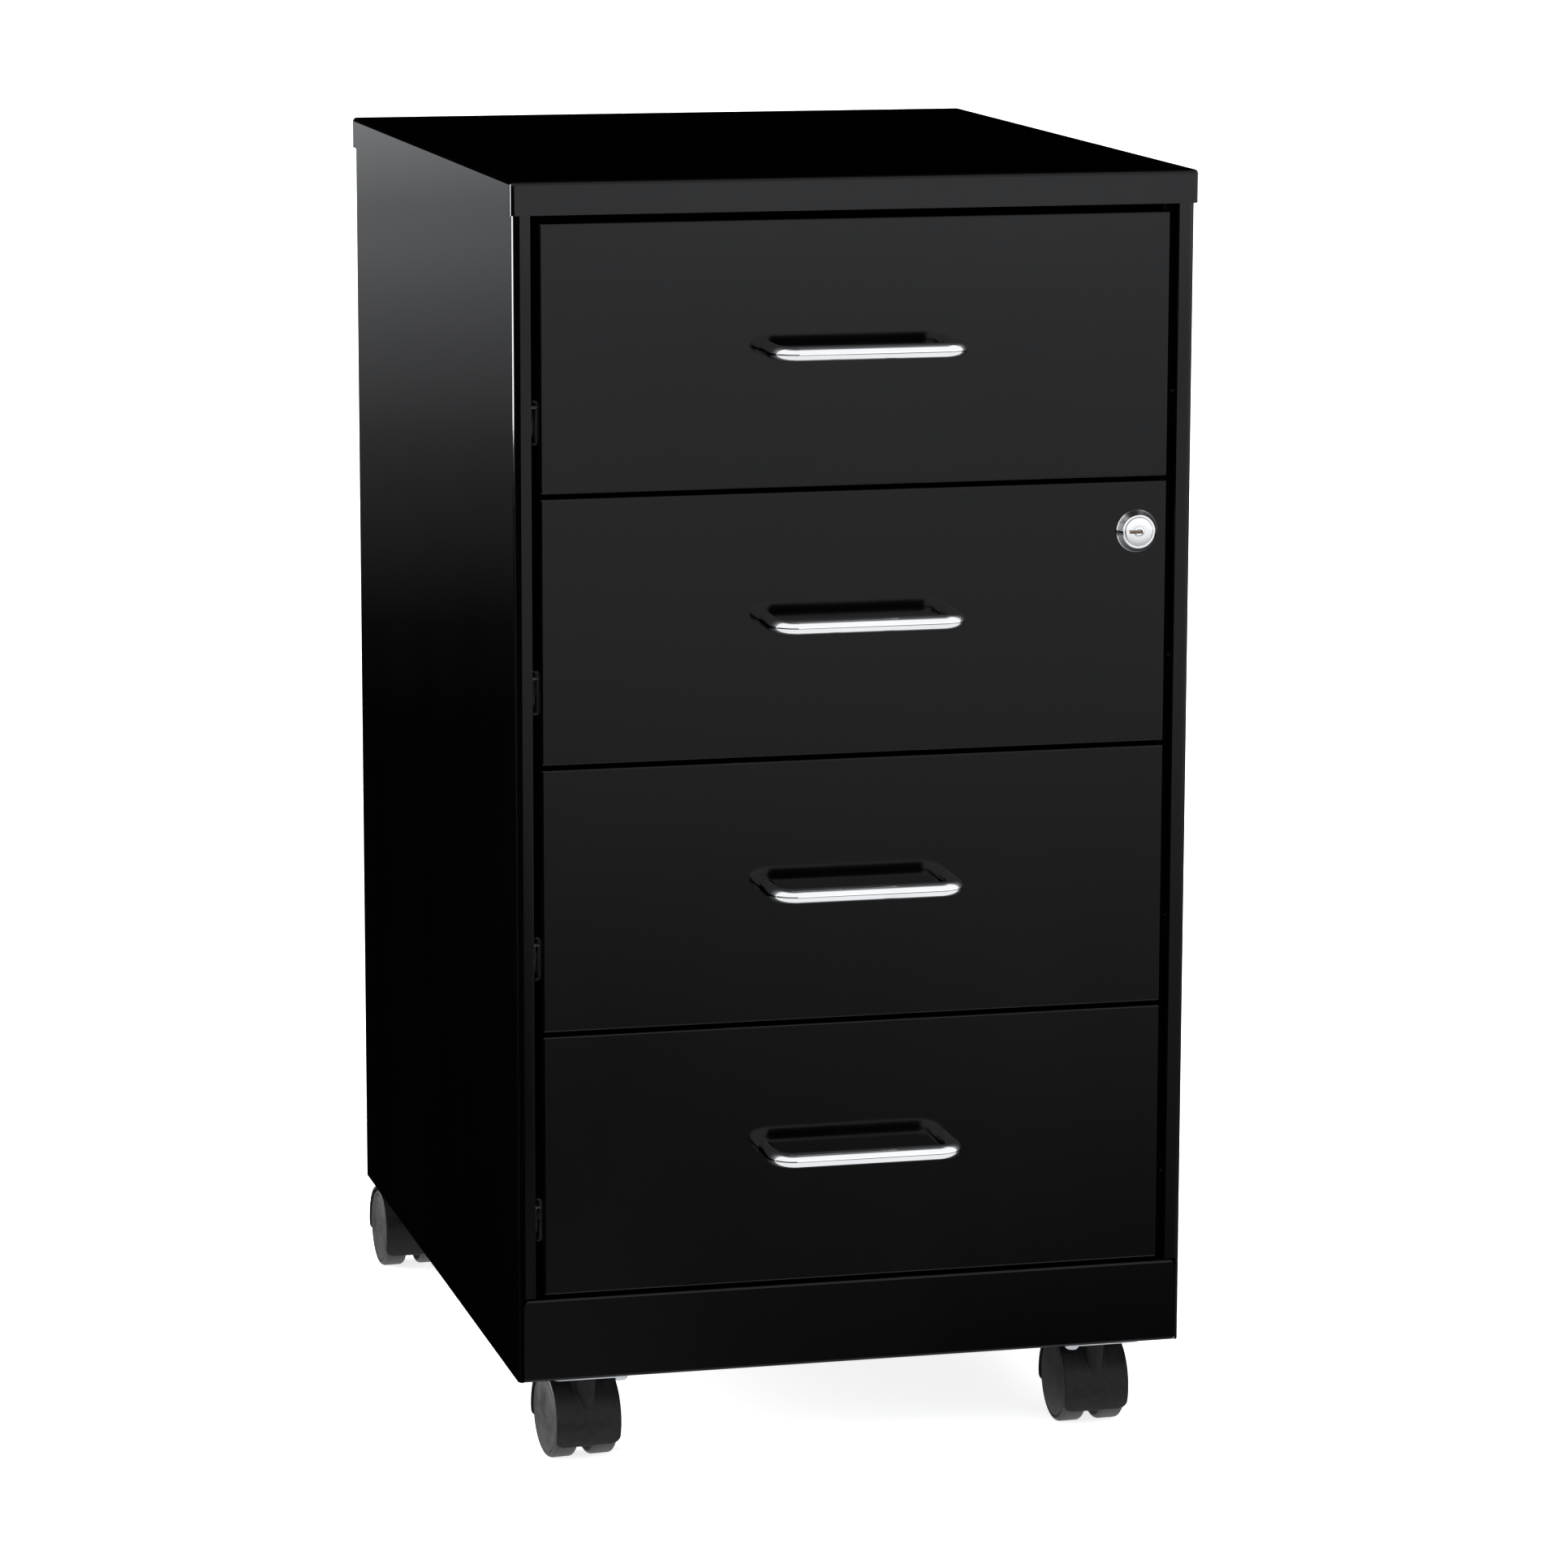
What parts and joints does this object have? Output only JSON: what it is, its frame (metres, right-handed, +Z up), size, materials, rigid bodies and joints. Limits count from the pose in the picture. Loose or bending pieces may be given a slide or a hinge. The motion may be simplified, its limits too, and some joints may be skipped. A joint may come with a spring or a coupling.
{
  "type": "metal filing cabinet",
  "caption": "Low metal filing cabinet with stacked drawers on roller runners, bent-rod pulls, one key lock and twin-wheel casters.",
  "frame": {"origin": "on the floor under the centre of the whole object's box, pulls and rear casters included", "axes": "+Z up, -Y out of the drawer fronts, +X to the right of someone facing the fronts"},
  "size_m": [0.362, 0.5004, 0.6771],
  "materials": {
    "enamel": "satin-gloss black enamel",
    "front_enamel": "satin-gloss black enamel on the drawer fronts",
    "inner_enamel": "thin satin black enamel",
    "chrome": "bright chrome plate",
    "zinc": "bright zinc plate",
    "screw_steel": "zinc-plated steel",
    "roller_nylon": "natural nylon",
    "hood_plastic": "satin moulded black plastic",
    "wheel_plastic": "satin moulded dark grey plastic"
  },
  "bodies": {
    "cabinet": {"side_panel_left": "enamel", "side_panel_right": "enamel", "back_panel": "enamel", "top_cap": "enamel", "toe_rail": "enamel", "base_pan": "inner_enamel", "front_uprights": "inner_enamel", "rear_uprights": "inner_enamel", "left_rails": "zinc", "right_rails": "zinc", "caster_plates": "zinc", "caster_screws": "screw_steel"},
    "drawer_1": {"drawer_1_front": "front_enamel", "drawer_1_tray": "inner_enamel", "drawer_1_handle": "chrome", "drawer_1_handle_screws": "screw_steel", "drawer_1_runners": "zinc"},
    "drawer_1_front_roller_pair": {"drawer_1_front_rollers": "roller_nylon"},
    "drawer_1_rear_roller_pair": {"drawer_1_rear_rollers": "roller_nylon"},
    "drawer_2": {"drawer_2_front": "front_enamel", "drawer_2_tray": "inner_enamel", "drawer_2_handle": "chrome", "drawer_2_handle_screws": "screw_steel", "drawer_2_runners": "zinc", "lock_housing": "chrome", "lock_nut": "zinc"},
    "drawer_2_front_roller_pair": {"drawer_2_front_rollers": "roller_nylon"},
    "drawer_2_rear_roller_pair": {"drawer_2_rear_rollers": "roller_nylon"},
    "drawer_3": {"drawer_3_front": "front_enamel", "drawer_3_tray": "inner_enamel", "drawer_3_handle": "chrome", "drawer_3_handle_screws": "screw_steel", "drawer_3_runners": "zinc"},
    "drawer_3_front_roller_pair": {"drawer_3_front_rollers": "roller_nylon"},
    "drawer_3_rear_roller_pair": {"drawer_3_rear_rollers": "roller_nylon"},
    "drawer_4": {"drawer_4_front": "front_enamel", "drawer_4_tray": "inner_enamel", "drawer_4_handle": "chrome", "drawer_4_handle_screws": "screw_steel", "drawer_4_runners": "zinc"},
    "drawer_4_front_roller_pair": {"drawer_4_front_rollers": "roller_nylon"},
    "drawer_4_rear_roller_pair": {"drawer_4_rear_rollers": "roller_nylon"},
    "lock_cylinder": {"lock_plug": "chrome", "lock_cam": "zinc"},
    "caster_front_left": {"caster_front_left_hood": "hood_plastic", "caster_front_left_axle": "screw_steel"},
    "caster_front_left_wheel_left_body": {"caster_front_left_wheel_left": "wheel_plastic"},
    "caster_front_left_wheel_right_body": {"caster_front_left_wheel_right": "wheel_plastic"},
    "caster_front_right": {"caster_front_right_hood": "hood_plastic", "caster_front_right_axle": "screw_steel"},
    "caster_front_right_wheel_left_body": {"caster_front_right_wheel_left": "wheel_plastic"},
    "caster_front_right_wheel_right_body": {"caster_front_right_wheel_right": "wheel_plastic"},
    "caster_rear_left": {"caster_rear_left_hood": "hood_plastic", "caster_rear_left_axle": "screw_steel"},
    "caster_rear_left_wheel_left_body": {"caster_rear_left_wheel_left": "wheel_plastic"},
    "caster_rear_left_wheel_right_body": {"caster_rear_left_wheel_right": "wheel_plastic"},
    "caster_rear_right": {"caster_rear_right_hood": "hood_plastic", "caster_rear_right_axle": "screw_steel"},
    "caster_rear_right_wheel_left_body": {"caster_rear_right_wheel_left": "wheel_plastic"},
    "caster_rear_right_wheel_right_body": {"caster_rear_right_wheel_right": "wheel_plastic"}
  },
  "joints": [
    {"name": "drawer_1_slide", "type": "slide", "parent": "cabinet", "child": "drawer_1", "axis": [0, -1, 0], "range_m": [0, 0.344]},
    {"name": "drawer_2_slide", "type": "slide", "parent": "cabinet", "child": "drawer_2", "axis": [0, -1, 0], "range_m": [0, 0.344]},
    {"name": "drawer_3_slide", "type": "slide", "parent": "cabinet", "child": "drawer_3", "axis": [0, -1, 0], "range_m": [0, 0.344]},
    {"name": "drawer_4_slide", "type": "slide", "parent": "cabinet", "child": "drawer_4", "axis": [0, -1, 0], "range_m": [0, 0.344]},
    {"name": "drawer_1_front_roller_spin", "type": "hinge", "parent": "cabinet", "child": "drawer_1_front_roller_pair", "pos_m": [0, -0.17724, 0.5506], "axis": [1, 0, 0], "range_deg": [-5, 2195]},
    {"name": "drawer_1_rear_roller_spin", "type": "hinge", "parent": "drawer_1", "child": "drawer_1_rear_roller_pair", "pos_m": [0, 0.18676, 0.5506], "axis": [1, 0, 0], "range_deg": [-5, 2195]},
    {"name": "drawer_2_front_roller_spin", "type": "hinge", "parent": "cabinet", "child": "drawer_2_front_roller_pair", "pos_m": [0, -0.17724, 0.4109], "axis": [1, 0, 0], "range_deg": [-5, 2195]},
    {"name": "drawer_2_rear_roller_spin", "type": "hinge", "parent": "drawer_2", "child": "drawer_2_rear_roller_pair", "pos_m": [0, 0.18676, 0.4109], "axis": [1, 0, 0], "range_deg": [-5, 2195]},
    {"name": "drawer_3_front_roller_spin", "type": "hinge", "parent": "cabinet", "child": "drawer_3_front_roller_pair", "pos_m": [0, -0.17724, 0.2712], "axis": [1, 0, 0], "range_deg": [-5, 2195]},
    {"name": "drawer_3_rear_roller_spin", "type": "hinge", "parent": "drawer_3", "child": "drawer_3_rear_roller_pair", "pos_m": [0, 0.18676, 0.2712], "axis": [1, 0, 0], "range_deg": [-5, 2195]},
    {"name": "drawer_4_front_roller_spin", "type": "hinge", "parent": "cabinet", "child": "drawer_4_front_roller_pair", "pos_m": [0, -0.17724, 0.1315], "axis": [1, 0, 0], "range_deg": [-5, 2195]},
    {"name": "drawer_4_rear_roller_spin", "type": "hinge", "parent": "drawer_4", "child": "drawer_4_rear_roller_pair", "pos_m": [0, 0.18676, 0.1315], "axis": [1, 0, 0], "range_deg": [-5, 2195]},
    {"name": "lock_turn", "type": "hinge", "parent": "drawer_2", "child": "lock_cylinder", "pos_m": [0.15, -0.21724, 0.49], "axis": [0, -1, 0], "range_deg": [0, 90]},
    {"name": "caster_front_left_swivel", "type": "hinge", "parent": "cabinet", "child": "caster_front_left", "pos_m": [-0.1397, -0.19024, 0.0425], "axis": [0, 0, 1], "continuous": true},
    {"name": "caster_front_left_wheel_left_spin", "type": "hinge", "parent": "caster_front_left", "child": "caster_front_left_wheel_left_body", "pos_m": [-0.14096, -0.17579, 0.0225], "axis": [0.9962, 0.0872, 0], "continuous": true},
    {"name": "caster_front_left_wheel_right_spin", "type": "hinge", "parent": "caster_front_left", "child": "caster_front_left_wheel_right_body", "pos_m": [-0.14096, -0.17579, 0.0225], "axis": [0.9962, 0.0872, 0], "continuous": true},
    {"name": "caster_front_right_swivel", "type": "hinge", "parent": "cabinet", "child": "caster_front_right", "pos_m": [0.1397, -0.19024, 0.0425], "axis": [0, 0, 1], "continuous": true},
    {"name": "caster_front_right_wheel_left_spin", "type": "hinge", "parent": "caster_front_right", "child": "caster_front_right_wheel_left_body", "pos_m": [0.13945, -0.17574, 0.0225], "axis": [0.9998, 0.0175, 0], "continuous": true},
    {"name": "caster_front_right_wheel_right_spin", "type": "hinge", "parent": "caster_front_right", "child": "caster_front_right_wheel_right_body", "pos_m": [0.13945, -0.17574, 0.0225], "axis": [0.9998, 0.0175, 0], "continuous": true},
    {"name": "caster_rear_left_swivel", "type": "hinge", "parent": "cabinet", "child": "caster_rear_left", "pos_m": [-0.157, 0.21036, 0.0425], "axis": [0, 0, 1], "continuous": true},
    {"name": "caster_rear_left_wheel_left_spin", "type": "hinge", "parent": "caster_rear_left", "child": "caster_rear_left_wheel_left_body", "pos_m": [-0.15751, 0.22485, 0.0225], "axis": [0.9994, 0.0349, 0], "continuous": true},
    {"name": "caster_rear_left_wheel_right_spin", "type": "hinge", "parent": "caster_rear_left", "child": "caster_rear_left_wheel_right_body", "pos_m": [-0.15751, 0.22485, 0.0225], "axis": [0.9994, 0.0349, 0], "continuous": true},
    {"name": "caster_rear_right_swivel", "type": "hinge", "parent": "cabinet", "child": "caster_rear_right", "pos_m": [0.157, 0.21036, 0.0425], "axis": [0, 0, 1], "continuous": true},
    {"name": "caster_rear_right_wheel_left_spin", "type": "hinge", "parent": "caster_rear_right", "child": "caster_rear_right_wheel_left_body", "pos_m": [0.15624, 0.22484, 0.0225], "axis": [0.9986, 0.0523, 0], "continuous": true},
    {"name": "caster_rear_right_wheel_right_spin", "type": "hinge", "parent": "caster_rear_right", "child": "caster_rear_right_wheel_right_body", "pos_m": [0.15624, 0.22484, 0.0225], "axis": [0.9986, 0.0523, 0], "continuous": true}
  ],
  "couplings": [
    {"joint": "drawer_1_front_roller_spin", "follows": "drawer_1_slide", "rad_per_m": 111.11},
    {"joint": "drawer_1_rear_roller_spin", "follows": "drawer_1_slide", "rad_per_m": 111.11},
    {"joint": "drawer_2_front_roller_spin", "follows": "drawer_2_slide", "rad_per_m": 111.11},
    {"joint": "drawer_2_rear_roller_spin", "follows": "drawer_2_slide", "rad_per_m": 111.11},
    {"joint": "drawer_3_front_roller_spin", "follows": "drawer_3_slide", "rad_per_m": 111.11},
    {"joint": "drawer_3_rear_roller_spin", "follows": "drawer_3_slide", "rad_per_m": 111.11},
    {"joint": "drawer_4_front_roller_spin", "follows": "drawer_4_slide", "rad_per_m": 111.11},
    {"joint": "drawer_4_rear_roller_spin", "follows": "drawer_4_slide", "rad_per_m": 111.11}
  ]
}
